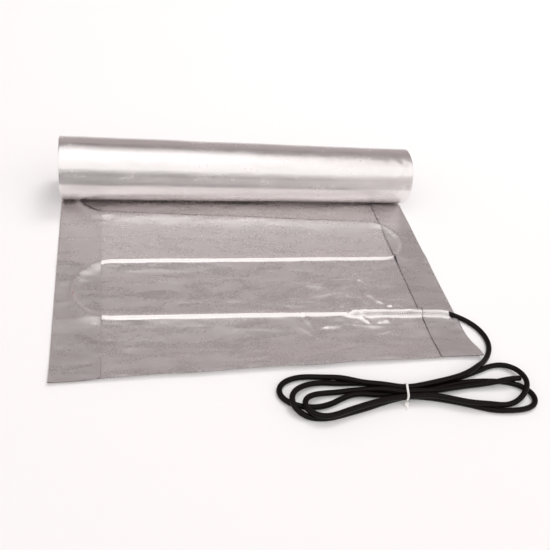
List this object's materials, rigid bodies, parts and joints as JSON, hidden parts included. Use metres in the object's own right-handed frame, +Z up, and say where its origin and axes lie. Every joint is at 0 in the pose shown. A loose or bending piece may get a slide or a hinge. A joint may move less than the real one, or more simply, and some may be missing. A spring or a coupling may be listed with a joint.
{
  "type": "underfloor heating mat",
  "caption": "Foil underfloor heating mat, partly unrolled: a roll, a laid length with ridges over its heating cable, and a cold lead folded into a tied hank.",
  "frame": {"origin": "on the floor under the middle of the mat, with the lead, its hank and the tie left out", "axes": "+X across the mat to the side where the cold lead leaves it, +Y from the front edge to the roll, +Z up"},
  "size_m": [0.552, 0.4494, 0.083],
  "materials": {
    "rolled_foil": "bright foil with a fine woven scrim pressed through it",
    "lower_foil": "bright foil with a fine woven scrim pressed through it",
    "cover_foil": "bright crinkled foil with a fine woven scrim",
    "heating_cable": "smooth cable jacket",
    "joint_sleeve": "heat-shrunk sleeve",
    "cold_lead": "satin black cable jacket",
    "cable_tie": "natural nylon"
  },
  "bodies": {
    "root": {"mat_roll": "rolled_foil", "lower_foil": "lower_foil", "cover_foil": "cover_foil", "heating_cable": "heating_cable", "joint_sleeve": "joint_sleeve", "cold_lead": "cold_lead", "cold_lead_hank": "cold_lead", "cable_tie": "cable_tie"}
  },
  "joints": []
}
